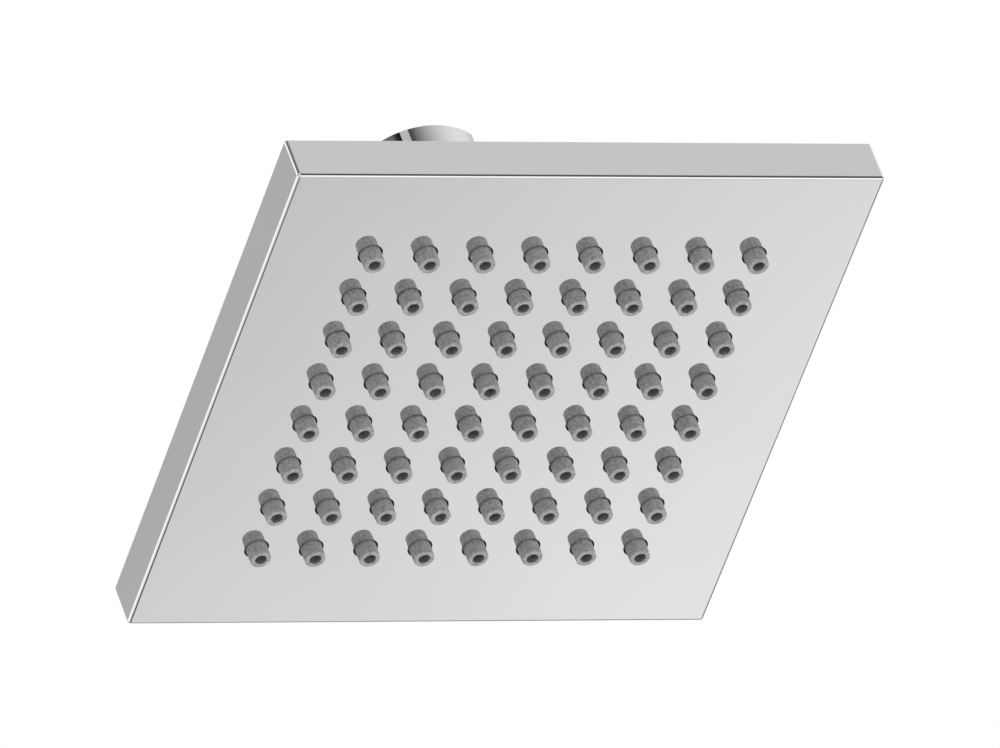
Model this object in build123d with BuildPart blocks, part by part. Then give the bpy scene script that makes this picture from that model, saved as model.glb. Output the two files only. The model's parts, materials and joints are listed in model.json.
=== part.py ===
from build123d import *
import math
import os

# Square rain shower head, in millimetres, +Z up.
# The origin is the centre of the inlet mouth, on the connector's top rim.
# The head hangs below the inlet on a ball joint, and its face looks down.

# Inlet connector
thread_diameter = 20.955
thread_depth = 12.0
thread_shoulder = 0.7
skirt_wall = 3.5
rim_chamfer = 0.5
flat_depth = 1.75
flat_height = 14.0
flat_angle = -30.0
passage_diameter = 10.4
floor_thickness = 1.9

# Washer, screen and flow regulator in the inlet
washer_thickness = 2.2
washer_width = 3.4
screen_thickness = 0.8
screen_hole_diameter = 3.2
screen_hole_circle = 9.2
screen_hole_count = 6
regulator_thickness = 3.6
regulator_shoulder = 1.5
regulator_floor = 1.2
regulator_core_diameter = 5.6
channel_width = 3.6
regulator_ring_section = 1.9
regulator_outlet_count = 8
regulator_outlet_diameter = 1.6

# Ball joint
ball_diameter = 22.0
ball_head_room = 0.5
swivel_tilt = 12.0
stop_margin = 1.5
seal_low_angle = 24.0
seal_high_angle = 44.5
seal_relief = 0.65
liner_thickness = 1.15
liner_top_angle = 6.0
liner_bottom_angle = 27.0
seat_wrap_angle = 30.0
seat_wall = 1.9
seat_reach = 8.0
nut_thread_length = 3.7
nut_flange_thickness = 1.5
nut_pin_diameter = 2.4
nut_pin_depth = 1.0
nut_pin_count = 4

# Ball stud
neck_diameter = 13.0
water_bore = 9.0
neck_reach = 7.25
hex_width = 16.0
hex_height = 5.0
stud_thread_diameter = 16.0
stud_ring_height = 1.8
stud_ring_depth = 1.4
stud_end_land = 0.8

# Neck boss and insert
boss_height = 8.0
boss_wall = 2.3
boss_flare = 6.5
boss_chamfer = 0.5
boss_roof = 2.0
insert_wall = 2.5
insert_flange_width = 3.4
insert_flange_thickness = 1.4
neck_gasket_thickness = 0.8

# Head
head_side = 152.4
head_thickness = 12.0
edge_radius = 0.8
rear_edge_radius = 0.3
face_thickness = 2.0
wall_thickness = 2.2
ledge_width = 2.0
cover_thickness = 2.0

# Nozzles
nozzle_pitch = 14.29
nozzle_margin = 26.0
face_hole_diameter = 6.3
nozzle_diameter = 5.3
nozzle_reach = 3.9
nozzle_bore = 2.9
mat_thickness = 1.4

# Water chamber behind the nozzles
plate_thickness = 2.0
slot_width = 2.0
slot_overrun = 2.0
chamber_margin = 3.6
gasket_width = 2.4
gasket_height = 1.0
screw_offset = 5.5
screws_per_side = 3
screw_boss_diameter = 6.0
screw_diameter = 2.4
screw_head_diameter = 4.4
screw_head_height = 1.1
screw_length = 4.2
distributor_diameter = 30.0
distributor_thickness = 0.8
distributor_foot_diameter = 3.0
distributor_foot_circle = 23.0
distributor_foot_count = 4

# Clearances
running_gap = 0.15
seat_gap = 0.3
thread_gap = 0.1
loose_gap = 0.3
pilot_gap = 0.05

# Heights of the inlet stack, counted down from the rim
thread_end = -thread_depth
washer_floor = thread_end - washer_thickness
screen_floor = washer_floor - screen_thickness
regulator_seat = screen_floor - regulator_thickness
passage_end = regulator_seat - floor_thickness

# Radii of the inlet stack
thread_radius = thread_diameter / 2
washer_pocket_radius = thread_radius - thread_shoulder
washer_radius = washer_pocket_radius - running_gap
regulator_pocket_radius = washer_pocket_radius - regulator_shoulder
regulator_radius = regulator_pocket_radius - running_gap
core_radius = regulator_core_diameter / 2
channel_radius = core_radius + channel_width

# Ball, liner and seat, all concentric
ball_radius = ball_diameter / 2
ball_z = passage_end - ball_head_room - ball_radius
liner_inner = ball_radius + running_gap
liner_outer = liner_inner + liner_thickness
seat_radius = liner_outer + running_gap
seat_outer = seat_radius + seat_wall
socket_radius = seat_outer + running_gap
connector_radius = socket_radius + skirt_wall
flat_width = 2 * (connector_radius - flat_depth)

# Heights of the ball joint
seal_radius = ball_radius + running_gap
seal_top = ball_z + seal_radius * math.sin(math.radians(seal_high_angle))
seal_bottom = ball_z + seal_radius * math.sin(math.radians(seal_low_angle))
dome_radius = seal_radius * math.cos(math.radians(seal_high_angle)) + seal_relief
seat_top = seal_bottom - seat_gap
seat_bottom = ball_z - seat_reach
nut_top = seat_bottom - seat_gap
skirt_end = nut_top - nut_thread_length
nut_bottom = skirt_end - nut_flange_thickness

# Opening of the nut: the neck leans about both level axes at once, plus a little to the stop
neck_radius = neck_diameter / 2
bore_radius = water_bore / 2
full_lean = math.acos(math.cos(math.radians(swivel_tilt)) ** 2) + math.radians(stop_margin)


def opening_radius(height):
    """Clear radius that the leaning neck needs at a height below the ball's centre."""
    return (ball_z - height) * math.tan(full_lean) + neck_radius / math.cos(full_lean) + running_gap


# Heights from the neck down to the face
hex_top = nut_bottom - neck_reach
boss_top = hex_top - hex_height
cover_top = boss_top - boss_height
face_z = cover_top - head_thickness
cover_floor = cover_top - cover_thickness
mat_floor = face_z + face_thickness
plate_floor = mat_floor + mat_thickness
plate_top = plate_floor + plate_thickness
chamber_height = cover_floor - plate_top
nozzle_tip = face_z - nozzle_reach

# Stud end, insert and boss
stud_radius = stud_thread_diameter / 2
insert_bore = stud_radius + thread_gap
insert_radius = insert_bore + insert_wall
flange_radius = insert_radius + insert_flange_width
boss_radius = insert_radius + thread_gap + boss_wall
insert_top = boss_top - boss_roof
pocket_roof = cover_floor + insert_flange_thickness + neck_gasket_thickness
stud_end = cover_floor + stud_end_land
groove_floor = stud_end + stud_end_land
groove_radius = stud_radius - stud_ring_depth

# Plan sizes of the head
cavity_side = head_side - 2 * (wall_thickness + ledge_width)
cover_bay_side = head_side - 2 * wall_thickness
cover_side = cover_bay_side - 2 * running_gap
mat_side = cavity_side - 2 * loose_gap
nozzle_rows = int((head_side - 2 * nozzle_margin) / nozzle_pitch) + 1
field_side = (nozzle_rows - 1) * nozzle_pitch
chamber_side = field_side + 2 * chamber_margin
skirt_side = chamber_side + 2 * gasket_width
screw_side = skirt_side + 2 * screw_offset
screw_pitch = screw_side / (screws_per_side - 1)
screw_columns = [screw_pitch * i - screw_side / 2 for i in range(screws_per_side)]
screw_edge = screw_side / 2 - screw_pitch / 2
screw_spots = [(x, y) for x in screw_columns for y in screw_columns if max(abs(x), abs(y)) > screw_edge]

# Screws in the pressure plate
screw_radius = screw_diameter / 2
screw_seat = plate_floor + screw_head_height + running_gap
screw_tip = screw_seat + screw_length

# Chromed brass sleeve: inlet thread above, ball socket below, two wrench flats at the rim
with BuildPart() as inlet_connector:
    with BuildSketch(Plane.XZ):
        with BuildLine():
            Polyline(
                (thread_radius, 0),
                (connector_radius, 0),
                (connector_radius, skirt_end + rim_chamfer),
                (connector_radius - rim_chamfer, skirt_end),
                (socket_radius, skirt_end),
                (socket_radius, seal_top),
                (dome_radius, seal_top),
                (dome_radius, passage_end),
                (passage_diameter / 2, passage_end),
                (passage_diameter / 2, regulator_seat),
                (regulator_pocket_radius, regulator_seat),
                (regulator_pocket_radius, washer_floor),
                (washer_pocket_radius, washer_floor),
                (washer_pocket_radius, thread_end),
                (thread_radius, thread_end),
                close=True,
            )
        make_face()
    revolve(axis=Axis.Z)
    with BuildSketch(Plane.XY.offset(-flat_height)):
        Circle(2 * connector_radius)
        Rectangle(flat_width, 4 * connector_radius, rotation=flat_angle, mode=Mode.SUBTRACT)
    extrude(amount=flat_height, mode=Mode.SUBTRACT)
    chamfer(faces().sort_by(Axis.Z)[-1].outer_wire().edges(), rim_chamfer)

# Rubber washer that the pipe end presses on
with BuildPart() as inlet_washer:
    with BuildSketch(Plane.XY.offset(washer_floor)):
        Circle(washer_radius)
        Circle(washer_radius - washer_width, mode=Mode.SUBTRACT)
    extrude(amount=washer_thickness)

# Perforated steel disc under the washer: one hole and a ring of six
with BuildPart() as filter_screen:
    with BuildSketch(Plane.XY.offset(screen_floor)):
        Circle(regulator_radius)
        Circle(screen_hole_diameter / 2, mode=Mode.SUBTRACT)
        with PolarLocations(screen_hole_circle / 2, screen_hole_count):
            Circle(screen_hole_diameter / 2, mode=Mode.SUBTRACT)
    extrude(amount=screen_thickness)

# Moulded regulator body with a ring channel and outlet holes in the channel's floor
with BuildPart() as flow_regulator:
    with BuildSketch(Plane.XY.offset(regulator_seat)):
        Circle(regulator_radius)
        with PolarLocations(core_radius + channel_width / 2, regulator_outlet_count):
            Circle(regulator_outlet_diameter / 2, mode=Mode.SUBTRACT)
    extrude(amount=regulator_floor)
    with BuildSketch(Plane.XY.offset(regulator_seat + regulator_floor)):
        Circle(regulator_radius)
        Circle(channel_radius, mode=Mode.SUBTRACT)
        Circle(core_radius)
    extrude(amount=regulator_thickness - regulator_floor)

# Soft ring that lies in the regulator's channel and narrows it as the pressure rises
with BuildPart() as regulator_ring:
    with BuildSketch(Plane.XY.offset(regulator_seat + regulator_floor)):
        Circle(core_radius + (channel_width + regulator_ring_section) / 2)
        Circle(core_radius + (channel_width - regulator_ring_section) / 2, mode=Mode.SUBTRACT)
    extrude(amount=regulator_ring_section)

# Rubber ring with a spherical inner face that seals the upper side of the ball
with BuildPart() as ball_seal:
    with BuildSketch(Plane.XZ):
        with BuildLine():
            seal_arc = CenterArc((0, ball_z), seal_radius, seal_low_angle, seal_high_angle - seal_low_angle)
            Polyline(seal_arc @ 1, (seat_outer, seal_top), (seat_outer, seal_bottom), seal_arc @ 0)
        make_face()
    revolve(axis=Axis.Z)

# Ring that carries the ball's liner and turns freely on the retaining nut
with BuildPart() as seat_ring:
    with BuildSketch(Plane.XZ):
        with BuildLine():
            seat_arc = CenterArc((0, ball_z), seat_radius, -seat_wrap_angle, seat_wrap_angle)
            mouth_radius = seat_radius * math.cos(math.radians(seat_wrap_angle))
            Polyline(
                seat_arc @ 1,
                (seat_radius, seat_top),
                (seat_outer, seat_top),
                (seat_outer, seat_bottom),
                (mouth_radius, seat_bottom),
                seat_arc @ 0,
            )
        make_face()
    revolve(axis=Axis.Z)

# Thin spherical liner between the ball and the seat ring
with BuildPart() as friction_liner:
    with BuildSketch(Plane.XZ):
        with BuildLine():
            liner_span = liner_bottom_angle - liner_top_angle
            inner_arc = CenterArc((0, ball_z), liner_inner, -liner_bottom_angle, liner_span)
            outer_arc = CenterArc((0, ball_z), liner_outer, -liner_bottom_angle, liner_span)
            Line(inner_arc @ 0, outer_arc @ 0)
            Line(inner_arc @ 1, outer_arc @ 1)
        make_face()
    revolve(axis=Axis.Z)

# Nut screwed into the sleeve from below, with a flared opening for the leaning neck
with BuildPart() as retaining_nut:
    with BuildSketch(Plane.XZ):
        with BuildLine():
            Polyline(
                (opening_radius(nut_top), nut_top),
                (socket_radius - thread_gap, nut_top),
                (socket_radius - thread_gap, skirt_end),
                (connector_radius - rim_chamfer, skirt_end),
                (connector_radius, skirt_end - rim_chamfer),
                (connector_radius, nut_bottom + rim_chamfer),
                (connector_radius - rim_chamfer, nut_bottom),
                (opening_radius(nut_bottom), nut_bottom),
                close=True,
            )
        make_face()
    revolve(axis=Axis.Z)
    with BuildSketch(Plane.XY.offset(nut_bottom)):
        with PolarLocations((opening_radius(nut_bottom) + connector_radius) / 2, nut_pin_count):
            Circle(nut_pin_diameter / 2)
    extrude(amount=nut_pin_depth, mode=Mode.SUBTRACT)

# Ball, neck, hexagon and threaded end, bored through for the water
with BuildPart() as ball_stud:
    with BuildSketch(Plane.XZ):
        with BuildLine():
            neck_angle = math.degrees(math.acos(neck_radius / ball_radius))
            bore_angle = math.degrees(math.acos(bore_radius / ball_radius))
            ball_arc = CenterArc((0, ball_z), ball_radius, -neck_angle, neck_angle + bore_angle)
            Polyline(
                ball_arc @ 0,
                (neck_radius, boss_top),
                (stud_radius, boss_top),
                (stud_radius, groove_floor + stud_ring_height),
                (groove_radius, groove_floor + stud_ring_height),
                (groove_radius, groove_floor),
                (stud_radius, groove_floor),
                (stud_radius, stud_end),
                (bore_radius, stud_end),
                ball_arc @ 1,
            )
        make_face()
    revolve(axis=Axis.Z)
    with BuildSketch(Plane.XY.offset(boss_top)):
        RegularPolygon(hex_width / 2, 6, major_radius=False)
        Circle(neck_radius, mode=Mode.SUBTRACT)
    extrude(amount=hex_height)

# O-ring in the groove at the stud's end
with BuildPart() as stud_oring:
    with BuildSketch(Plane.XY.offset(groove_floor)):
        Circle(stud_radius)
        Circle(groove_radius, mode=Mode.SUBTRACT)
    extrude(amount=stud_ring_height)

# Flanged brass insert that takes the stud's thread and carries the head
with BuildPart() as neck_insert:
    with BuildSketch(Plane.XY.offset(cover_floor)):
        Circle(insert_radius)
        Circle(insert_bore, mode=Mode.SUBTRACT)
    extrude(amount=insert_top - cover_floor)
    with BuildSketch(Plane.XY.offset(cover_floor)):
        Circle(flange_radius)
        Circle(insert_bore, mode=Mode.SUBTRACT)
    extrude(amount=insert_flange_thickness)

# Flat seal between the insert's flange and the roof of its pocket in the cover
with BuildPart() as neck_gasket:
    with BuildSketch(Plane.XY.offset(cover_floor + insert_flange_thickness)):
        Circle(flange_radius)
        Circle(insert_radius + thread_gap, mode=Mode.SUBTRACT)
    extrude(amount=neck_gasket_thickness)

# Rear cover: flat plate, flared neck boss, chamber skirt and screw bosses
with BuildPart() as back_cover:
    with BuildSketch(Plane.XY.offset(cover_floor)):
        Rectangle(cover_side, cover_side)
    extrude(amount=cover_thickness)
    with BuildSketch(Plane.XY.offset(cover_top)):
        Circle(boss_radius)
    extrude(amount=boss_height)
    boss_edges = edges().filter_by(GeomType.CIRCLE).sort_by(Axis.Z)
    fillet(boss_edges[0], boss_flare)
    chamfer(edges().filter_by(GeomType.CIRCLE).sort_by(Axis.Z)[-1], boss_chamfer)
    with BuildSketch(Plane.XY.offset(cover_floor)):
        Circle(flange_radius + thread_gap)
    extrude(amount=pocket_roof - cover_floor, mode=Mode.SUBTRACT)
    with BuildSketch(Plane.XY.offset(cover_floor)):
        Circle(insert_radius + thread_gap)
    extrude(amount=insert_top - cover_floor, mode=Mode.SUBTRACT)
    with BuildSketch(Plane.XY.offset(insert_top)):
        Circle(insert_bore + thread_gap)
    extrude(amount=boss_roof, mode=Mode.SUBTRACT)
    with BuildSketch(Plane.XY.offset(plate_top + gasket_height)):
        Rectangle(skirt_side, skirt_side)
        Rectangle(chamber_side, chamber_side, mode=Mode.SUBTRACT)
    extrude(amount=chamber_height - gasket_height)
    with BuildSketch(Plane.XY.offset(plate_top)):
        with Locations(*screw_spots):
            Circle(screw_boss_diameter / 2)
    extrude(amount=chamber_height)
    with BuildSketch(Plane.XY.offset(plate_top)):
        with Locations(*screw_spots):
            Circle(screw_radius + pilot_gap)
    extrude(amount=screw_tip - plate_top + loose_gap, mode=Mode.SUBTRACT)

# Disc on four feet that spreads the jet from the inlet over the chamber
foot_height = (chamber_height - distributor_thickness) / 2
with BuildPart() as distributor:
    with BuildSketch(Plane.XY.offset(plate_top + foot_height)):
        Circle(distributor_diameter / 2)
    extrude(amount=distributor_thickness)
    with BuildSketch(Plane.XY.offset(plate_top)):
        with PolarLocations(distributor_foot_circle / 2, distributor_foot_count):
            Circle(distributor_foot_diameter / 2)
    extrude(amount=foot_height)

# Square seal between the cover's skirt and the pressure plate
with BuildPart() as chamber_gasket:
    with BuildSketch(Plane.XY.offset(plate_top)):
        Rectangle(skirt_side, skirt_side)
        Rectangle(chamber_side, chamber_side, mode=Mode.SUBTRACT)
    extrude(amount=gasket_height)

# Plate that backs the nozzle mat, with one feed slot to each row of nozzles
with BuildPart() as pressure_plate:
    with BuildSketch(Plane.XY.offset(plate_floor)):
        Rectangle(mat_side, mat_side)
        with GridLocations(nozzle_pitch, 0, nozzle_rows, 1):
            SlotOverall(field_side + 2 * slot_overrun, slot_width, rotation=90, mode=Mode.SUBTRACT)
        with Locations(*screw_spots):
            Circle(screw_radius + running_gap, mode=Mode.SUBTRACT)
    extrude(amount=plate_thickness)
    with BuildSketch(Plane.XY.offset(plate_floor)):
        with Locations(*screw_spots):
            Circle(screw_head_diameter / 2 + running_gap)
    extrude(amount=screw_seat - plate_floor, mode=Mode.SUBTRACT)

# Screws from below through the pressure plate into the cover's bosses
with BuildPart() as plate_screws:
    with BuildSketch(Plane.XY.offset(screw_seat)):
        with Locations(*screw_spots):
            Circle(screw_head_diameter / 2)
    extrude(amount=-screw_head_height)
    with BuildSketch(Plane.XY.offset(screw_seat)):
        with Locations(*screw_spots):
            Circle(screw_radius)
    extrude(amount=screw_length)

# Silicone mat: a membrane with a hollow nozzle through each hole of the face
with BuildPart() as nozzle_mat:
    with BuildSketch(Plane.XY.offset(mat_floor)):
        Rectangle(mat_side, mat_side)
    extrude(amount=mat_thickness)
    with BuildSketch(Plane.XY.offset(nozzle_tip)):
        with GridLocations(nozzle_pitch, nozzle_pitch, nozzle_rows, nozzle_rows):
            Circle(nozzle_diameter / 2)
    extrude(amount=mat_floor - nozzle_tip)
    with BuildSketch(Plane.XY.offset(nozzle_tip)):
        with GridLocations(nozzle_pitch, nozzle_pitch, nozzle_rows, nozzle_rows):
            Circle(nozzle_bore / 2)
    extrude(amount=plate_floor - nozzle_tip, mode=Mode.SUBTRACT)

# One-piece shell: the face with its holes, four side walls and a ledge for the cover
with BuildPart() as face_shell:
    with BuildSketch(Plane.XY.offset(face_z)):
        Rectangle(head_side, head_side)
    extrude(amount=head_thickness)
    shell_edges = edges().filter_by(Axis.Z) + faces().sort_by(Axis.Z)[0].edges()
    fillet(shell_edges, edge_radius)
    fillet(faces().sort_by(Axis.Z)[-1].edges(), rear_edge_radius)
    with BuildSketch(Plane.XY.offset(mat_floor)):
        Rectangle(cavity_side, cavity_side)
    extrude(amount=head_thickness, mode=Mode.SUBTRACT)
    with BuildSketch(Plane.XY.offset(cover_floor)):
        Rectangle(cover_bay_side, cover_bay_side)
    extrude(amount=head_thickness, mode=Mode.SUBTRACT)
    with BuildSketch(Plane.XY.offset(face_z)):
        with GridLocations(nozzle_pitch, nozzle_pitch, nozzle_rows, nozzle_rows):
            Circle(face_hole_diameter / 2)
    extrude(amount=face_thickness, mode=Mode.SUBTRACT)

pieces = {
    "inlet_connector": inlet_connector,
    "inlet_washer": inlet_washer,
    "filter_screen": filter_screen,
    "flow_regulator": flow_regulator,
    "regulator_ring": regulator_ring,
    "ball_seal": ball_seal,
    "seat_ring": seat_ring,
    "friction_liner": friction_liner,
    "retaining_nut": retaining_nut,
    "ball_stud": ball_stud,
    "stud_oring": stud_oring,
    "neck_insert": neck_insert,
    "neck_gasket": neck_gasket,
    "back_cover": back_cover,
    "distributor": distributor,
    "chamber_gasket": chamber_gasket,
    "pressure_plate": pressure_plate,
    "plate_screws": plate_screws,
    "nozzle_mat": nozzle_mat,
    "face_shell": face_shell,
}

os.makedirs("parts", exist_ok=True)
for name, piece in pieces.items():
    piece.part.label = name
    export_step(piece.part, f"parts/{name}.step")

print("ball centre", round(ball_z, 3), "face", round(face_z, 3), "nozzle tips", round(nozzle_tip, 3))
print("connector radius", round(connector_radius, 3), "flats", round(flat_width, 3), "rows", nozzle_rows)
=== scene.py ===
# %% [markdown]
# # Square rain shower head
# This lesson dresses a ready-made construction model of a shower head: a thin square box of chromed
# plastic, 64 soft silicone nozzles in its face, and a ball joint with a threaded inlet behind it.
# The construction model stays where it is. We give it finishes, swap in nicer nozzles, cut the inlet
# thread, weave the filter cloth, and then light it as a small product studio would.

# %% Load the construction model
import json
import math

import bmesh
import bpy
from mathutils import Matrix, Quaternion, Vector

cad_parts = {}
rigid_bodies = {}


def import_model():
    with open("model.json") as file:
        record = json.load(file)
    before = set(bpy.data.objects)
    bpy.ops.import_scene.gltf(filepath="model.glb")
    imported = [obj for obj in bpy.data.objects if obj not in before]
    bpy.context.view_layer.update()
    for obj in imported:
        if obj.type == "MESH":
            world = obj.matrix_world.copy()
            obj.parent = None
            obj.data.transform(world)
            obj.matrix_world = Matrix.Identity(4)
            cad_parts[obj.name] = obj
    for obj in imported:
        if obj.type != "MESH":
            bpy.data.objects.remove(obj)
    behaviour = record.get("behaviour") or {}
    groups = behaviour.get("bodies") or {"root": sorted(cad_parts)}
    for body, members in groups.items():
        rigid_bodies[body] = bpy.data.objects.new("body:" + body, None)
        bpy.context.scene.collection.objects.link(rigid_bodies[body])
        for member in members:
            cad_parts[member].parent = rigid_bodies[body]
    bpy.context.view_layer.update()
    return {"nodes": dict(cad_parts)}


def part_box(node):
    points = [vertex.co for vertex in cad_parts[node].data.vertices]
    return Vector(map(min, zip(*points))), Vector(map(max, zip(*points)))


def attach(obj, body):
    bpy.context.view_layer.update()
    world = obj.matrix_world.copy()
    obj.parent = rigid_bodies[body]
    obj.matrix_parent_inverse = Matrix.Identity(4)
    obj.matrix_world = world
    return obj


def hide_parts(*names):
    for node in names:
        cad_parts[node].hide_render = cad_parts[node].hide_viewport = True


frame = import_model()
MM = 0.001
print("nodes:", len(frame["nodes"]))

# %% [markdown]
# ## Reading sizes from the model
# A learner may be tempted to type every size again. Reading them from the model is safer: when the
# construction changes, the looks follow. The shell gives the face's height, the mat gives the
# nozzles' tips, and the connector gives the inlet's rim.

# %% Heights and sizes that the pieces share
shell_low, shell_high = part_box("face_shell")
mat_low, mat_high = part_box("nozzle_mat")
connector_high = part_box("inlet_connector")[1]
screen_low, screen_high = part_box("filter_screen")
washer_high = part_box("inlet_washer")[1]
face_z = shell_low.z
head_side = shell_high.x - shell_low.x
tip_z = mat_low.z
mat_top_z = mat_high.z
mat_side = mat_high.x - mat_low.x
print("face at", round(face_z, 5), "tips at", round(tip_z, 5), "side", round(head_side, 4))

# %% [markdown]
# ## Working by hand, in code
# Every operator acts on what is selected, and loading leaves the whole model selected. So each piece
# starts with nothing selected. Inside edit mode, rings of points are picked by their height, which is
# what a hand would do with box select.

# %% Small helpers for selecting


def clear_selection():
    """Deselects every object, so that the next operator touches only the new piece."""
    bpy.ops.object.select_all(action="DESELECT")


def edit(piece):
    """Opens one piece in edit mode."""
    clear_selection()
    piece.select_set(True)
    bpy.context.view_layer.objects.active = piece
    bpy.ops.object.mode_set(mode="EDIT")


def leave_edit():
    """Closes edit mode."""
    bpy.ops.object.mode_set(mode="OBJECT")


def pick(piece, test):
    """Selects the points of a piece in edit mode that pass a test, and says how many."""
    mesh = bmesh.from_edit_mesh(piece.data)
    for point in mesh.verts:
        point.select_set(test(point.co))
    mesh.select_flush(True)
    bmesh.update_edit_mesh(piece.data)
    return sum(point.select for point in mesh.verts)


def apply_modifier(piece, name):
    """Applies one modifier of a piece."""
    clear_selection()
    piece.select_set(True)
    bpy.context.view_layer.objects.active = piece
    bpy.ops.object.modifier_apply(modifier=name)


def close_up(piece, angle):
    """Merges doubles, turns every face outwards and smooths all but the sharp edges."""
    edit(piece)
    bpy.ops.mesh.select_all(action="SELECT")
    bpy.ops.mesh.remove_doubles(threshold=1e-6)
    bpy.ops.mesh.normals_make_consistent(inside=False)
    leave_edit()
    bpy.ops.object.shade_smooth_by_angle(angle=math.radians(angle))


# %% [markdown]
# ## One silicone nozzle
# The nozzles are moulded in one soft mat. Limescale is rubbed off them with a thumb, which is why they
# stand out of the face. Each one tapers a little, so that the mould lets go of it, and has a rounded
# tip. The mouth has a slightly narrower lip, and the bore behind it ends in a fine jet hole. A lathe
# profile would do, but growing it ring by ring from a circle teaches more: extrude a ring, lift it,
# scale it, and repeat.
# The profile starts at the jet hole in the back of the mat, runs down the inside, turns over the lip
# of the mouth, round the tip, and up the outside to the mat.

# %% The nozzle's profile
NOZZLE_PITCH = 14.29 * MM
NOZZLE_ROWS = 8
RING_POINTS = 40
FACE_THICKNESS = 2.0 * MM
mat_floor_z = face_z + FACE_THICKNESS
first_spot = -NOZZLE_PITCH * (NOZZLE_ROWS - 1) / 2
nozzle_profile = [
    (0.70, mat_top_z - 2.0 * MM),
    (1.72, mat_top_z - 2.4 * MM),
    (1.72, tip_z + 1.10 * MM),
    (1.48, tip_z + 0.35 * MM),
    (1.50, tip_z + 0.06 * MM),
    (1.60, tip_z),
    (2.36, tip_z),
    (2.47, tip_z + 0.03 * MM),
    (2.54, tip_z + 0.10 * MM),
    (2.58, tip_z + 0.20 * MM),
    (2.59, tip_z + 0.32 * MM),
    (2.63, tip_z + 2.20 * MM),
    (2.67, face_z),
    (2.69, mat_floor_z - 0.40 * MM),
    (2.76, mat_floor_z - 0.12 * MM),
    (2.90, mat_floor_z),
]
print("profile rings:", len(nozzle_profile) + 1)

# %% Grow the nozzle from a circle
clear_selection()
jet_radius = nozzle_profile[0][0]
bpy.ops.mesh.primitive_circle_add(
    vertices=RING_POINTS,
    radius=jet_radius * MM,
    fill_type="NOTHING",
    location=(first_spot, first_spot, mat_top_z),
)
nozzle_mat = bpy.context.object
nozzle_mat.name = "silicone_nozzles"
bpy.ops.object.transform_apply(location=True, rotation=True, scale=True)
edit(nozzle_mat)
bpy.ops.mesh.select_all(action="SELECT")
ring_radius, ring_z = jet_radius, mat_top_z
for radius, height in nozzle_profile:
    bpy.ops.mesh.extrude_region_move(TRANSFORM_OT_translate={"value": (0, 0, height - ring_z)})
    growth = radius / ring_radius
    bpy.ops.transform.resize(value=(growth, growth, 1), center_override=(first_spot, first_spot, height))
    ring_radius, ring_z = radius, height
print("nozzle points:", len(bmesh.from_edit_mesh(nozzle_mat.data).verts))

# %% [markdown]
# ## From one nozzle to the mat
# The nozzle sits in a square tile of the mat. Both ends of the profile are pulled out to the same
# square, so tiles meet point to point, and two array modifiers lay out the eight by eight field and
# merge the seams. That keeps the mat one closed skin, as the moulded one is.

# %% Square off the tile


def square_ring(piece, half):
    """Moves the selected ring out to a square of that half width around the first nozzle."""
    mesh = bmesh.from_edit_mesh(piece.data)
    for point in mesh.verts:
        if point.select:
            reach = max(abs(point.co.x - first_spot), abs(point.co.y - first_spot))
            point.co.x = first_spot + (point.co.x - first_spot) * half / reach
            point.co.y = first_spot + (point.co.y - first_spot) * half / reach
    bmesh.update_edit_mesh(piece.data)


bpy.ops.mesh.extrude_region_move(TRANSFORM_OT_translate={"value": (0, 0, 0)})
square_ring(nozzle_mat, NOZZLE_PITCH / 2)
pick(nozzle_mat, lambda co: abs(co.z - mat_top_z) < 1e-6)
bpy.ops.mesh.extrude_region_move(TRANSFORM_OT_translate={"value": (0, 0, 0)})
square_ring(nozzle_mat, NOZZLE_PITCH / 2)
leave_edit()
print("tile faces:", len(nozzle_mat.data.polygons))

# %% Lay out the field
for axis, name in enumerate(("Along X", "Along Y")):
    row = nozzle_mat.modifiers.new(name, "ARRAY")
    row.count = NOZZLE_ROWS
    row.use_relative_offset = False
    row.use_constant_offset = True
    row.constant_offset_displace = [NOZZLE_PITCH if axis == i else 0 for i in range(3)]
    row.use_merge_vertices = True
    row.merge_threshold = 1e-6
    apply_modifier(nozzle_mat, name)
print("nozzles:", NOZZLE_ROWS**2, "faces:", len(nozzle_mat.data.polygons))

# %% Pull the rim out to the shell and close it
edit(nozzle_mat)
bpy.ops.mesh.select_mode(type="EDGE")
bpy.ops.mesh.select_all(action="DESELECT")
bpy.ops.mesh.select_non_manifold(
    extend=False,
    use_wire=False,
    use_boundary=True,
    use_multi_face=False,
    use_non_contiguous=False,
    use_verts=False,
)
rim_growth = mat_side / (NOZZLE_PITCH * NOZZLE_ROWS)
bpy.ops.mesh.extrude_region_move(TRANSFORM_OT_translate={"value": (0, 0, 0)})
bpy.ops.transform.resize(value=(rim_growth, rim_growth, 1), center_override=(0, 0, 0))
bpy.ops.mesh.bridge_edge_loops()
bpy.ops.mesh.select_mode(type="VERT")
leave_edit()
close_up(nozzle_mat, 40)
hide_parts("nozzle_mat")
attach(nozzle_mat, "head")
print("mat triangles:", sum(len(face.vertices) - 2 for face in nozzle_mat.data.polygons))

# %% [markdown]
# ## Inlet thread
# The connector screws onto a half-inch pipe thread with 14 turns to the inch. The construction model
# has a plain bore of the thread's outer diameter. Here the ridge between the grooves is added: a small
# trapezoid that the Screw modifier winds round the axis, cut square at both ends with bisect.

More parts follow.
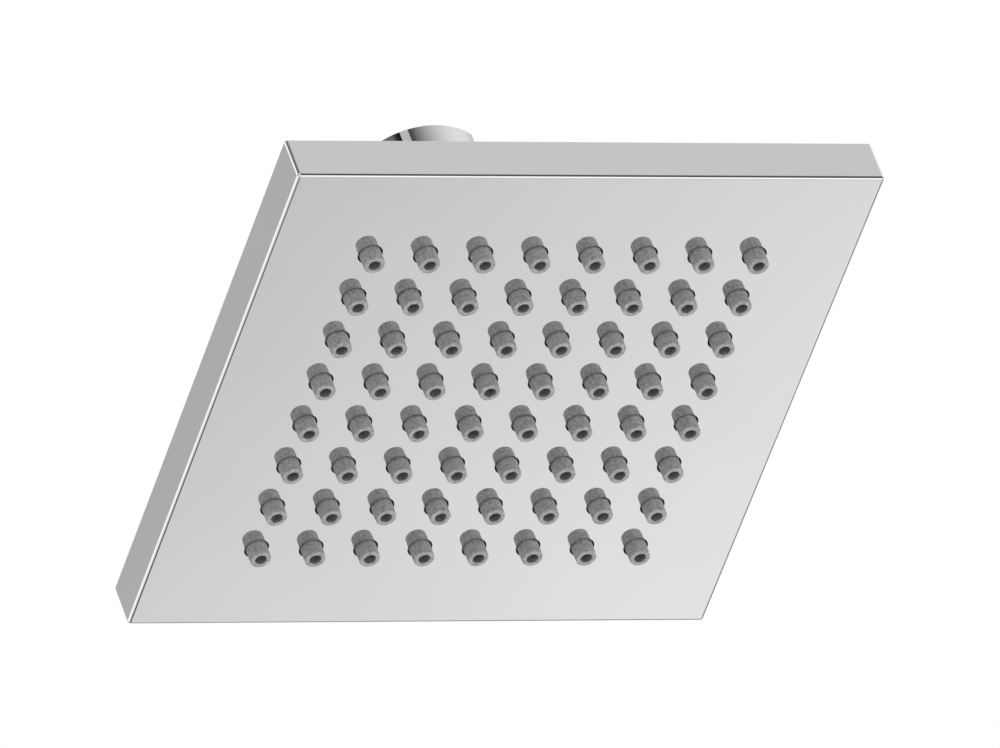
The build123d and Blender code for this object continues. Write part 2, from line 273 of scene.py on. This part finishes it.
# %% Wind the thread
THREAD_PITCH = 25.4 / 14 * MM
THREAD_ROOT = 10.46 * MM
THREAD_CREST = 9.32 * MM
THREAD_DEPTH = connector_high.z - washer_high.z
THREAD_STEPS = 72
RIDGE_SHARE = 0.86
CREST_SHARE = 0.3
clear_selection()
ridge_middle = (THREAD_ROOT + THREAD_CREST) / 2
bpy.ops.mesh.primitive_plane_add(size=1, rotation=(math.pi / 2, 0, 0))
thread = bpy.context.object
thread.name = "inlet_thread_ridge"
thread.scale = (THREAD_ROOT - THREAD_CREST, THREAD_PITCH * RIDGE_SHARE, 1)
thread_start_z = connector_high.z + THREAD_PITCH
thread.location = (ridge_middle, 0, thread_start_z)
bpy.ops.object.transform_apply(location=True, rotation=True, scale=True)
edit(thread)
pick(thread, lambda co: co.x < ridge_middle)
bpy.ops.transform.resize(
    value=(1, 1, CREST_SHARE), center_override=(THREAD_CREST, 0, thread_start_z)
)
bpy.ops.mesh.select_all(action="SELECT")
bpy.ops.mesh.delete(type="ONLY_FACE")
leave_edit()
turns = math.ceil(THREAD_DEPTH / THREAD_PITCH) + 2
winding = thread.modifiers.new("Winding", "SCREW")
winding.screw_offset = -THREAD_PITCH
winding.iterations = turns
winding.steps = THREAD_STEPS
winding.render_steps = THREAD_STEPS
winding.use_merge_vertices = True
apply_modifier(thread, "Winding")
print("thread turns:", turns)

# %% Cut the thread to its depth
THREAD_RUNOUT = 0.6 * MM
edit(thread)
thread_top = connector_high.z - THREAD_RUNOUT
thread_foot = washer_high.z + THREAD_RUNOUT
for level, keeps_below in ((thread_top, True), (thread_foot, False)):
    bpy.ops.mesh.select_all(action="SELECT")
    bpy.ops.mesh.bisect(
        plane_co=(0, 0, level),
        plane_no=(0, 0, 1),
        use_fill=True,
        clear_outer=keeps_below,
        clear_inner=not keeps_below,
    )
leave_edit()
close_up(thread, 30)
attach(thread, "inlet")
print("thread from", round(thread_foot, 5), "to", round(thread_top, 5))

# %% [markdown]
# ## Filter cloth
# Under the washer lies a steel disc with seven holes, and each hole carries a patch of fine wire cloth
# that keeps grit out of the jets. One round patch is cut into a grid with bisect, the Wireframe modifier
# turns the grid lines into wires, with the rim as a closing wire, and the patch is copied into the other
# holes. The cuts lie a hair closer than the wires' pitch, so that the outermost stays inside the rim.

# %% Cut and copy the patches
HOLE_RADIUS = 1.6 * MM
HOLE_CIRCLE = 4.6 * MM
HOLES_AROUND = 6
WIRE_PITCH = 0.4 * MM
WIRE_THICKNESS = 0.14 * MM
PATCH_POINTS = 32
CUT_PITCH = WIRE_PITCH * 0.99
cloth_z = (screen_low.z + screen_high.z) / 2
clear_selection()
bpy.ops.mesh.primitive_circle_add(
    vertices=PATCH_POINTS, radius=HOLE_RADIUS, fill_type="NGON", location=(0, 0, cloth_z)
)
patch = bpy.context.object
patch.name = "filter_cloth_0"
bpy.ops.object.transform_apply(location=True, rotation=True, scale=True)
edit(patch)
wires_each_side = int(HOLE_RADIUS / WIRE_PITCH)
for step in range(-wires_each_side, wires_each_side + 1):
    for across in ((1, 0, 0), (0, 1, 0)):
        bpy.ops.mesh.select_all(action="SELECT")
        bpy.ops.mesh.bisect(plane_co=Vector(across) * step * CUT_PITCH, plane_no=across)
leave_edit()
wires = patch.modifiers.new("Wires", "WIREFRAME")
wires.thickness = WIRE_THICKNESS
wires.use_boundary = True
apply_modifier(patch, "Wires")
close_up(patch, 50)
patches = [patch]
for i in range(HOLES_AROUND):
    copy = patch.copy()
    copy.data = patch.data.copy()
    copy.name = f"filter_cloth_{i + 1}"
    turn = 2 * math.pi * i / HOLES_AROUND
    place = (HOLE_CIRCLE * math.cos(turn), HOLE_CIRCLE * math.sin(turn), 0)
    copy.data.transform(Matrix.Translation(place))
    bpy.context.scene.collection.objects.link(copy)
    patches.append(copy)
for cloth in patches:
    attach(cloth, "inlet")
print("filter patches:", len(patches))

# %% [markdown]
# ## Finishes
# Every finish is a small node tree on Object coordinates, so its grain sits still on the piece. A real
# surface is never one flat value: even bright chrome has patches that were polished a little longer.
# One helper makes the start that all finishes share: soft clouds of noise at a real size, which then
# vary the colour, the roughness and a very slight bump.

# %% A helper for cloudy finishes


def cloud(tree, grain, detail=3.0, stretch=(1, 1, 1)):
    """Adds a noise of that grain size in metres, on Object coordinates, and gives its output."""
    place = tree.nodes.new("ShaderNodeTexCoord")
    mapping = tree.nodes.new("ShaderNodeMapping")
    mapping.inputs["Scale"].default_value = stretch
    noise = tree.nodes.new("ShaderNodeTexNoise")
    noise.inputs["Scale"].default_value = 1 / grain
    noise.inputs["Detail"].default_value = detail
    tree.links.new(place.outputs["Object"], mapping.inputs["Vector"])
    tree.links.new(mapping.outputs["Vector"], noise.inputs["Vector"])
    return noise.outputs["Fac"]


def ramp(tree, source, stops):
    """Adds a colour ramp with these (position, colour) stops and gives its output."""
    node = tree.nodes.new("ShaderNodeValToRGB")
    ends = node.color_ramp.elements
    for i, (position, colour) in enumerate(stops):
        stop = ends[i] if i < len(ends) else ends.new(position)
        stop.position = position
        stop.color = (*colour, 1)
    tree.links.new(source, node.inputs["Fac"])
    return node.outputs["Color"]


def spread(tree, source, low, high):
    """Maps a noise onto a range of values and gives its output."""
    node = tree.nodes.new("ShaderNodeMapRange")
    node.inputs["From Min"].default_value = 0.3
    node.inputs["From Max"].default_value = 0.7
    node.inputs["To Min"].default_value = low
    node.inputs["To Max"].default_value = high
    tree.links.new(source, node.inputs["Value"])
    return node.outputs["Result"]


def bump(tree, source, depth):
    """Adds a bump of that depth in metres and gives its output."""
    node = tree.nodes.new("ShaderNodeBump")
    node.inputs["Strength"].default_value = 1.0
    node.inputs["Distance"].default_value = depth
    tree.links.new(source, node.inputs["Height"])
    return node.outputs["Normal"]


def new_finish(name, dark, light, patch, rough, grain, depth, metallic=0.0):
    """A finish whose colour and roughness drift in patches and whose surface has a fine grain."""
    finish = bpy.data.materials.new(name)
    finish.use_nodes = True
    tree = finish.node_tree
    shader = tree.nodes["Principled BSDF"]
    shader.inputs["Metallic"].default_value = metallic
    patches_of_tone = cloud(tree, patch)
    tree.links.new(ramp(tree, patches_of_tone, [(0.3, dark), (0.7, light)]), shader.inputs["Base Color"])
    tree.links.new(spread(tree, patches_of_tone, *rough), shader.inputs["Roughness"])
    tree.links.new(bump(tree, cloud(tree, grain), depth), shader.inputs["Normal"])
    return finish


def grey(value):
    """A neutral colour."""
    return (value, value, value)


print("finish helpers ready")

# %% [markdown]
# ## Chrome
# Bright chrome plate is a neutral mirror: the nozzles show in the face nearly as bright as they are.
# So its colour is a pale grey, its roughness is close to nothing, and all its light and dark comes from
# the studio around it, except the shade painted into the nozzle holes below. The plated plastic shell is
# the flattest mirror, and the turned brass under the connector's plate is a touch softer.

# %% Chrome on plastic and on turned brass
chrome_shell = new_finish(
    "Chrome on moulded plastic",
    grey(0.835),
    grey(0.860),
    patch=60 * MM,
    rough=(0.018, 0.035),
    grain=9 * MM,
    depth=0.0006 * MM,
    metallic=1.0,
)
chrome_turned = new_finish(
    "Chrome on turned brass",
    grey(0.830),
    grey(0.860),
    patch=25 * MM,
    rough=(0.025, 0.05),
    grain=7 * MM,
    depth=0.0005 * MM,
    metallic=1.0,
)
print("chrome finishes:", chrome_shell.name, "and", chrome_turned.name)

# %% [markdown]
# ## Inside the nozzle holes
# The walls of the nozzle holes get a painted shade: a nearly black colour, which, with the shadow in
# the narrow gap, gives the fine dark crescent beside each nozzle. The shell stays one piece with one
# finish: a box on Object coordinates, from just behind the face to the mat, tells the finish where the
# painted shade goes.

# %% Painted shade in the holes
HOLE_FIELD = 60 * MM
HOLE_START = face_z + 0.08 * MM
HOLE_END = face_z + 2.5 * MM
# Nearly black colour, painted into the hole walls as shade.
PAINTED_SHADE_TONE = (0.03, 0.03, 0.03, 1)


def reckon(tree, operation, *sources):
    """Adds a Math node that takes outputs or plain numbers and gives its output."""
    node = tree.nodes.new("ShaderNodeMath")
    node.operation = operation
    for socket, source in zip(node.inputs, sources):
        if isinstance(source, float):
            socket.default_value = source
        else:
            tree.links.new(source, socket)
    return node.outputs["Value"]


tree = chrome_shell.node_tree
place = tree.nodes.new("ShaderNodeTexCoord")
parts = tree.nodes.new("ShaderNodeSeparateXYZ")
tree.links.new(place.outputs["Object"], parts.inputs["Vector"])
side_x = reckon(tree, "ABSOLUTE", parts.outputs["X"])
side_y = reckon(tree, "ABSOLUTE", parts.outputs["Y"])
# The box where shade is painted: inside the nozzle field, from just behind the face to the mat.
in_field = reckon(tree, "LESS_THAN", reckon(tree, "MAXIMUM", side_x, side_y), HOLE_FIELD)
behind_face = reckon(tree, "GREATER_THAN", parts.outputs["Z"], HOLE_START)
before_mat = reckon(tree, "LESS_THAN", parts.outputs["Z"], HOLE_END)
painted_shade_mask = reckon(tree, "MULTIPLY", in_field, reckon(tree, "MULTIPLY", behind_face, before_mat))
plate_colour = tree.nodes["Principled BSDF"].inputs["Base Color"]
bright_colour = plate_colour.links[0].from_socket
# Mixes the painted shade into the plate's colour inside the box.
painted_shade_mix = tree.nodes.new("ShaderNodeMixRGB")
painted_shade_mix.inputs["Color2"].default_value = PAINTED_SHADE_TONE
tree.links.new(painted_shade_mask, painted_shade_mix.inputs["Fac"])
tree.links.new(bright_colour, painted_shade_mix.inputs["Color1"])
tree.links.new(painted_shade_mix.outputs["Color"], plate_colour)
# Prints the heights between which shade is painted.
print("dull from", round(HOLE_START, 5), "to", round(HOLE_END, 5))

# %% [markdown]
# ## Silicone, rubber and the hidden plastics
# The silicone is a dull mid grey with a fine mottle from its filler. The seals are black rubber. Inside
# are milky white acetal, grey moulded plastic, a blue flow regulator, raw brass and steel. They hardly
# show, but the part is also looked at with its covers off.

# %% The other finishes
silicone = new_finish(
    "Grey silicone", grey(0.22), grey(0.42), patch=0.7 * MM, rough=(0.5, 0.7), grain=0.35 * MM,
    depth=0.03 * MM,
)
rubber = new_finish(
    "Black rubber", grey(0.016), grey(0.030), patch=3 * MM, rough=(0.55, 0.75), grain=0.4 * MM,
    depth=0.02 * MM,
)
acetal = new_finish(
    "White acetal", (0.74, 0.74, 0.71), (0.82, 0.82, 0.79), patch=8 * MM, rough=(0.32, 0.45), grain=1 * MM,
    depth=0.006 * MM,
)
grey_plastic = new_finish(
    "Grey moulded plastic", (0.25, 0.26, 0.27), (0.31, 0.32, 0.33), patch=12 * MM, rough=(0.4, 0.55),
    grain=0.6 * MM, depth=0.01 * MM,
)
blue_plastic = new_finish(
    "Blue regulator plastic", (0.035, 0.105, 0.27), (0.05, 0.14, 0.33), patch=4 * MM, rough=(0.3, 0.45),
    grain=0.6 * MM, depth=0.008 * MM,
)
brass = new_finish(
    "Turned brass", (0.60, 0.41, 0.14), (0.70, 0.50, 0.20), patch=6 * MM, rough=(0.22, 0.36),
    grain=0.5 * MM, depth=0.004 * MM, metallic=1.0,
)
steel = new_finish(
    "Stainless steel", grey(0.48), grey(0.56), patch=4 * MM, rough=(0.2, 0.34), grain=0.4 * MM,
    depth=0.004 * MM, metallic=1.0,
)
other_finishes = (silicone, rubber, acetal, grey_plastic, blue_plastic, brass, steel)
print("other finishes:", ", ".join(finish.name for finish in other_finishes))

# %% [markdown]
# ## Handing the finishes out
# One table says which pieces wear which finish. The construction pieces and the new ones are in it
# alike, and a table is easier to check than a line per piece.

# %% Give every piece its finish
finish_of = {
    "chromed_plastic": (chrome_shell, ["face_shell", "back_cover"]),
    "chromed_brass": (
        chrome_turned,
        ["inlet_connector", "retaining_nut", "ball_stud", "inlet_thread_ridge"],
    ),
    "brass": (brass, ["seat_ring", "neck_insert"]),
    "steel": (steel, ["filter_screen", "plate_screws"] + [cloth.name for cloth in patches]),
    "silicone": (silicone, ["nozzle_mat", "silicone_nozzles"]),
    "rubber": (
        rubber,
        ["inlet_washer", "regulator_ring", "ball_seal", "stud_oring", "neck_gasket", "chamber_gasket"],
    ),
    "acetal": (acetal, ["friction_liner", "distributor"]),
    "grey plastic": (grey_plastic, ["pressure_plate"]),
    "blue plastic": (blue_plastic, ["flow_regulator"]),
}
for finish, names in finish_of.values():
    for name in names:
        piece = bpy.data.objects[name]
        piece.data.materials.clear()
        piece.data.materials.append(finish)
print("pieces with a finish:", sum(len(names) for finish, names in finish_of.values()))

# %% [markdown]
# ## Studio
# A mirror shows its surroundings, so lighting chrome means placing cards: white ones where an edge
# should flash, black ones where it needs a dark line beside the flash, and a panel that fades from grey
# to white for the gentle sweep of tone over the face. The cards stand round the head and are hidden
# from the camera itself. Directions are given as a compass angle from +X and a height angle.

# %% A helper for cards
studio_centre = Vector((0, 0, (face_z + connector_high.z) / 2))
cards = []


def glow_ramp(tree, glow, tones, angle):
    """Makes a card's glow run through (place, brightness) stops along an angle in its own plane."""
    brightest = max(brightness for place, brightness in tones)
    place = tree.nodes.new("ShaderNodeTexCoord")
    mapping = tree.nodes.new("ShaderNodeMapping")
    mapping.vector_type = "TEXTURE"
    mapping.inputs["Rotation"].default_value = (0, 0, math.radians(angle))
    parts = tree.nodes.new("ShaderNodeSeparateXYZ")
    along = tree.nodes.new("ShaderNodeMath")
    along.operation = "ADD"
    along.inputs[1].default_value = 0.5
    tree.links.new(place.outputs["Object"], mapping.inputs["Vector"])
    tree.links.new(mapping.outputs["Vector"], parts.inputs["Vector"])
    tree.links.new(parts.outputs["X"], along.inputs[0])
    stops = [(spot, grey(brightness / brightest)) for spot, brightness in tones]
    tree.links.new(ramp(tree, along.outputs["Value"], stops), glow.inputs["Color"])
    glow.inputs["Strength"].default_value = brightest


def paper_card(name, place, facing, width, tall, tones, angle=0, lights=True):
    """A flat card. Brightness 1 is white paper, and tones may also be a list of stops along an angle."""
    clear_selection()
    bpy.ops.mesh.primitive_plane_add(size=1, location=place)
    plane = bpy.context.object
    plane.name = name
    plane.rotation_euler = facing.to_track_quat("Z", "Y").to_euler()
    plane.scale = (width, tall, 1)
    plane.visible_camera = False
    plane.visible_shadow = False
    plane.visible_diffuse = lights
    paper = bpy.data.materials.new(name)
    paper.use_nodes = True
    tree = paper.node_tree
    tree.nodes.clear()
    glow = tree.nodes.new("ShaderNodeEmission")
    out = tree.nodes.new("ShaderNodeOutputMaterial")
    tree.links.new(glow.outputs["Emission"], out.inputs["Surface"])
    if isinstance(tones, list):
        glow_ramp(tree, glow, tones, angle)
    else:
        glow.inputs["Strength"].default_value = tones
    plane.data.materials.append(paper)
    cards.append(plane)


def compass_way(compass, height=0.0):
    """The direction at a compass angle from +X and a height angle, in degrees."""
    turn, rise = math.radians(compass), math.radians(height)
    return Vector((math.cos(turn) * math.cos(rise), math.sin(turn) * math.cos(rise), math.sin(rise)))


def tilted_card(name, compass, height, distance, width, tall, tones, angle=0, lights=True):
    """A card that looks straight at the head from one direction."""
    away = compass_way(compass, height)
    paper_card(name, studio_centre + away * distance, away, width, tall, tones, angle, lights)


def upright_card(name, compass, heights, radius, tones, lights=True):
    """A standing card between two compass angles and two height angles, at a level distance."""
    middle, half = sum(compass) / 2, (compass[1] - compass[0]) / 2
    low, high = (studio_centre.z + radius * math.tan(math.radians(angle)) for angle in heights)
    away = compass_way(middle)
    width = 2 * radius * math.tan(math.radians(half))
    place = Vector((away.x * radius, away.y * radius, (low + high) / 2))
    paper_card(name, place, away, width, high - low, tones, 0, lights)


print("studio centre:", [round(x, 4) for x in studio_centre])

# %% [markdown]
# ### Face and side walls
# A flat mirror shows one small patch of the studio to the camera, so each flat side needs one card: a
# fading panel for the face, and a plain grey one for each wall that the camera sees.

# %% Cards for the face and the side walls
tilted_card("face_panel", 59.0, -44.5, 0.9, 0.42, 0.42, [(0.0, 0.39), (1.0, 1.047)], angle=111.5)
tilted_card("left_grey", 119.0, 42.0, 1.2, 0.62, 0.62, 0.472)
upright_card("front_wall_card", (280, 322), (21, 40.3), 1.05, 0.65)
print("cards so far:", len(cards))

# %% [markdown]
# ### Edges
# A rounded edge squeezes a wide view of the studio into a thin line. Two big softboxes give the bright
# lines, and flags, which are dark cards that only the mirrors see, give the dark lines beside them.
# One more flag keeps the left softbox out of the back cover when the head is seen from its sides.

# %% Cards for the bright and dark lines along the edges
tilted_card("left_softbox", 165.0, 8.0, 1.6, 2.4, 2.4, 1.08)
left_flag_tones = [(0.0, 1.05), (0.3, 0.62), (0.6, 0.45), (1.0, 0.6)]
upright_card("left_flag", (152, 205), (-20, 33), 1.3, left_flag_tones, lights=False)
tilted_card("low_front_softbox", 305.0, -50.0, 1.5, 1.5, 1.3, 1.2)
low_flag_tones = [(0.0, 0.75), (0.36, 0.10), (0.64, 0.10), (1.0, 0.75)]
upright_card("front_low_flag", (258, 330), (-38, 21), 1.06, low_flag_tones, lights=False)
upright_card("corner_flag_left", (203, 250), (30, 40.0), 1.0, [(0.0, 0.17), (1.0, 0.14)], lights=False)
upright_card("corner_flag_right", (250, 293.5), (30, 40.8), 1.0, [(0.0, 0.14), (1.0, 0.62)], lights=False)
tilted_card("low_back_flag", 92.0, -49.0, 1.0, 0.62, 0.5, 0.1, lights=False)
upright_card("back_right_flag", (33, 77), (-31, 46), 1.6, 0.26, lights=False)
print("cards so far:", len(cards))

# %% [markdown]
# ### Round connector
# An upright cylinder shows the studio as upright stripes. One row of cards at the right height paints
# them from left to right: a dark wedge, a pale strip, and a long sweep from dark to light.

# %% Cards for the round connector
wedge_tones = [(0.0, 0.2), (0.66, 0.156), (0.77, 0.06), (0.88, 0.012)]
upright_card("front_left_flag", (200, 240.3), (38.8, 45), 1.07, wedge_tones, lights=False)
upright_card("front_strip", (240.3, 253.3), (38.8, 45), 1.08, 0.55)
sweep_tones = [
    (0.03, 0.075),
    (0.08, 0.085),
    (0.18, 0.21),
    (0.28, 0.35),
    (0.40, 0.53),
    (0.51, 0.687),
    (0.60, 0.774),
    (0.70, 0.833),
    (0.76, 0.85),
    (1.00, 0.81),
]
upright_card("front_sweep", (253.3, 350), (38.8, 53.5), 1.09, sweep_tones)
upright_card("right_card", (350, 374), (38.8, 47), 1.09, [(0.0, 0.80), (1.0, 0.55)])
print("cards so far:", len(cards))

# %% [markdown]
# ### Back and sides
# From behind, the back cover would show nothing but white sky. A soft card overhead and four far ones
# around give it quiet greys.

# %% Cards for the back and the sides
tilted_card("top_card", 250, 90, 1.7, 2.6, 2.6, [(0.0, 0.40), (1.0, 0.95)], angle=35, lights=False)
far_tones = [(0.0, 0.90), (0.5, 0.35), (1.0, 0.90)]
for middle in (20, 110, 200, 290):
    sides = (middle - 45, middle + 45)
    upright_card(f"far_card_{middle}", sides, (-14, 36), 2.2, far_tones, lights=False)
print("cards:", len(cards))

# %% [markdown]
# ## Lamps for the silicone
# Cards shape the chrome, but the dull nozzles only see how much light falls on them. One lamp below
# lifts their tips, and a weaker one to the right lifts one side of each. Both stay out of the mirrors.

# %% Two small lamps
LAMP_DISTANCE = 1.2
LAMP_SIZE = 0.25


def small_lamp(name, compass, height, watts):
    """A round lamp that looks at the face from one direction and doesn't show in the chrome."""
    away = compass_way(compass, height)
    place = Vector((0, 0, face_z)) + away * LAMP_DISTANCE
    clear_selection()
    aim = away.to_track_quat("Z", "Y").to_euler()
    bpy.ops.object.light_add(type="AREA", location=place, rotation=aim)
    lamp = bpy.context.object
    lamp.name = name
    lamp.data.shape = "DISK"
    lamp.data.size = LAMP_SIZE
    lamp.data.energy = watts
    lamp.visible_glossy = False


small_lamp("low_lamp", 0, -90, 3.8)
small_lamp("right_lamp", 338, -14, 2.6)
print("lamps:", len(bpy.data.lights))

# %% [markdown]
# ## Floor and sky
# The head hangs from its pipe, so the pale floor lies well below it. The sky is plain white to the
# camera and to mirrors, and a little weaker as a light, so that colours come out as they were mixed.

# %% Floor and sky
FLOOR_Z = -6.0
FLOOR_SIZE = 120
clear_selection()
bpy.ops.mesh.primitive_plane_add(size=FLOOR_SIZE, location=(0, 0, FLOOR_Z))
floor = bpy.context.object
floor.name = "floor"
floor_paint = new_finish(
    "Pale floor", grey(0.86), grey(0.90), patch=0.8, rough=(0.6, 0.7), grain=0.02, depth=0.05 * MM
)
floor.data.materials.append(floor_paint)

SKY_LIGHT = 0.75
sky = bpy.data.worlds.new("Studio sky")
bpy.context.scene.world = sky
sky.use_nodes = True
tree = sky.node_tree
tree.nodes.clear()
rays = tree.nodes.new("ShaderNodeLightPath")
seen = tree.nodes.new("ShaderNodeMath")
seen.operation = "MAXIMUM"
seen_through = tree.nodes.new("ShaderNodeMath")
seen_through.operation = "MAXIMUM"
white = tree.nodes.new("ShaderNodeBackground")
white.inputs["Strength"].default_value = 1.0
white.inputs["Color"].default_value = (1, 1, 1, 1)
soft = tree.nodes.new("ShaderNodeBackground")
soft.inputs["Strength"].default_value = SKY_LIGHT
soft.inputs["Color"].default_value = (1, 1, 1, 1)
choose = tree.nodes.new("ShaderNodeMixShader")
out = tree.nodes.new("ShaderNodeOutputWorld")
tree.links.new(rays.outputs["Is Camera Ray"], seen.inputs[0])
tree.links.new(rays.outputs["Is Glossy Ray"], seen.inputs[1])
tree.links.new(seen.outputs["Value"], seen_through.inputs[0])
tree.links.new(rays.outputs["Is Transmission Ray"], seen_through.inputs[1])
tree.links.new(seen_through.outputs["Value"], choose.inputs["Fac"])
tree.links.new(soft.outputs["Background"], choose.inputs[1])
tree.links.new(white.outputs["Background"], choose.inputs[2])
tree.links.new(choose.outputs["Shader"], out.inputs["Surface"])
print("sky light:", SKY_LIGHT)

# %% [markdown]
# ## Camera
# The picture looks up at the face from a long way off, through a long lens, so the square is nearly a
# parallelogram. The camera is placed by a direction, a distance and a roll round its own axis, which is
# easier to read than three turns.

# %% Camera
VIEW_COMPASS = math.radians(-31.253)
VIEW_HEIGHT = math.radians(-40.438)
VIEW_ROLL = math.radians(-21.497)
VIEW_DISTANCE = 4.0099
VIEW_LENS = 600.5
VIEW_TARGET = Vector((-0.004183, -0.009755, face_z))
back = Vector(
    (
        math.sin(VIEW_COMPASS) * math.cos(VIEW_HEIGHT),
        -math.cos(VIEW_COMPASS) * math.cos(VIEW_HEIGHT),
        math.sin(VIEW_HEIGHT),
    )
)
lens = bpy.data.cameras.new("studio_camera")
lens.lens = VIEW_LENS
lens.sensor_width = 36.0
lens.clip_end = 200.0
camera = bpy.data.objects.new("studio_camera", lens)
bpy.context.scene.collection.objects.link(camera)
camera.location = VIEW_TARGET + back * VIEW_DISTANCE
aim = (-back).to_track_quat("-Z", "Y") @ Quaternion((0, 0, 1), VIEW_ROLL)
camera.rotation_euler = aim.to_euler()
bpy.context.scene.camera = camera
bpy.context.scene.view_settings.view_transform = "Standard"
print("camera at", [round(x, 4) for x in camera.location])
